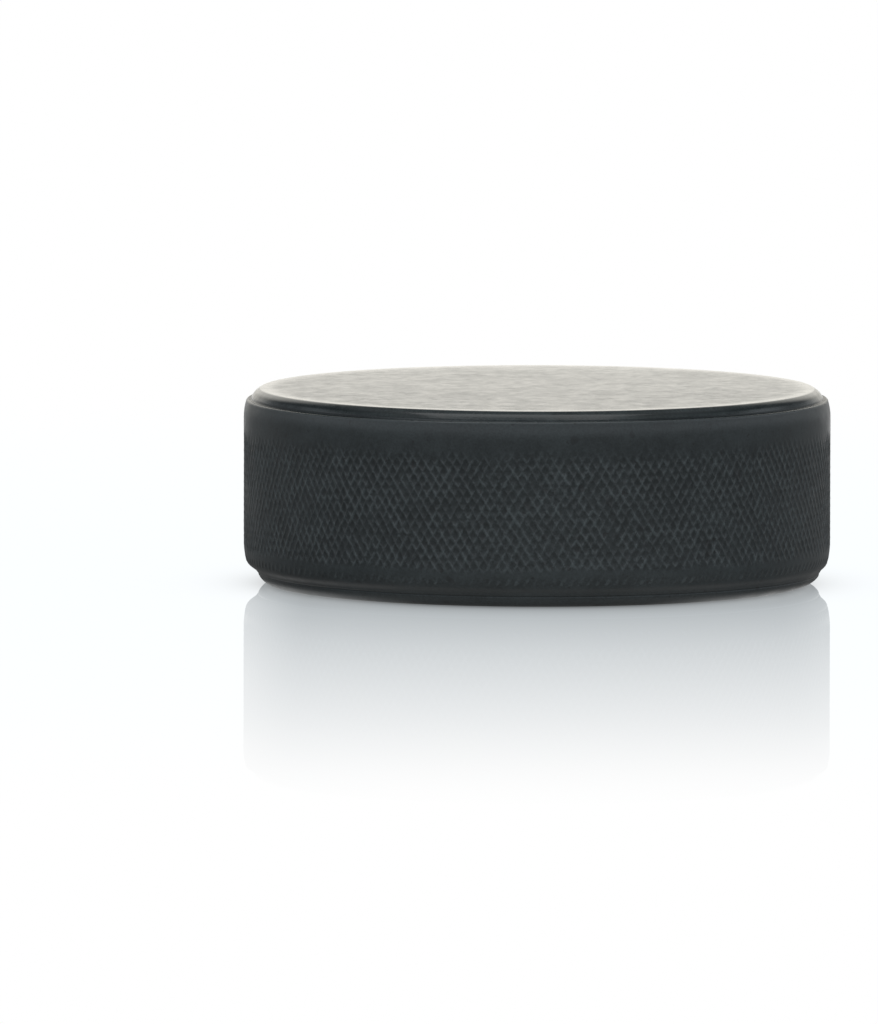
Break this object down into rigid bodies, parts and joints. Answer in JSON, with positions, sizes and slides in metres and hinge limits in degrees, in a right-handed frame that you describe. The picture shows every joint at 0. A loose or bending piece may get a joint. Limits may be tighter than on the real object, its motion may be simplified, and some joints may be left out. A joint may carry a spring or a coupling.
{
  "type": "hockey puck",
  "caption": "Solid black rubber ice hockey puck: a flat disc with chamfered edges and a diamond-knurled side band that a stick blade grips.",
  "frame": {"origin": "centre of the flat bottom face, the face the puck rests and slides on", "axes": "+Z along the disc's axis, out through the top face; X and Y are interchangeable, because the solid is one body of revolution"},
  "size_m": [0.0762, 0.0762, 0.0254],
  "materials": {
    "vulcanised_rubber": "satin"
  },
  "bodies": {
    "root": {"puck_body": "vulcanised_rubber"}
  },
  "joints": []
}
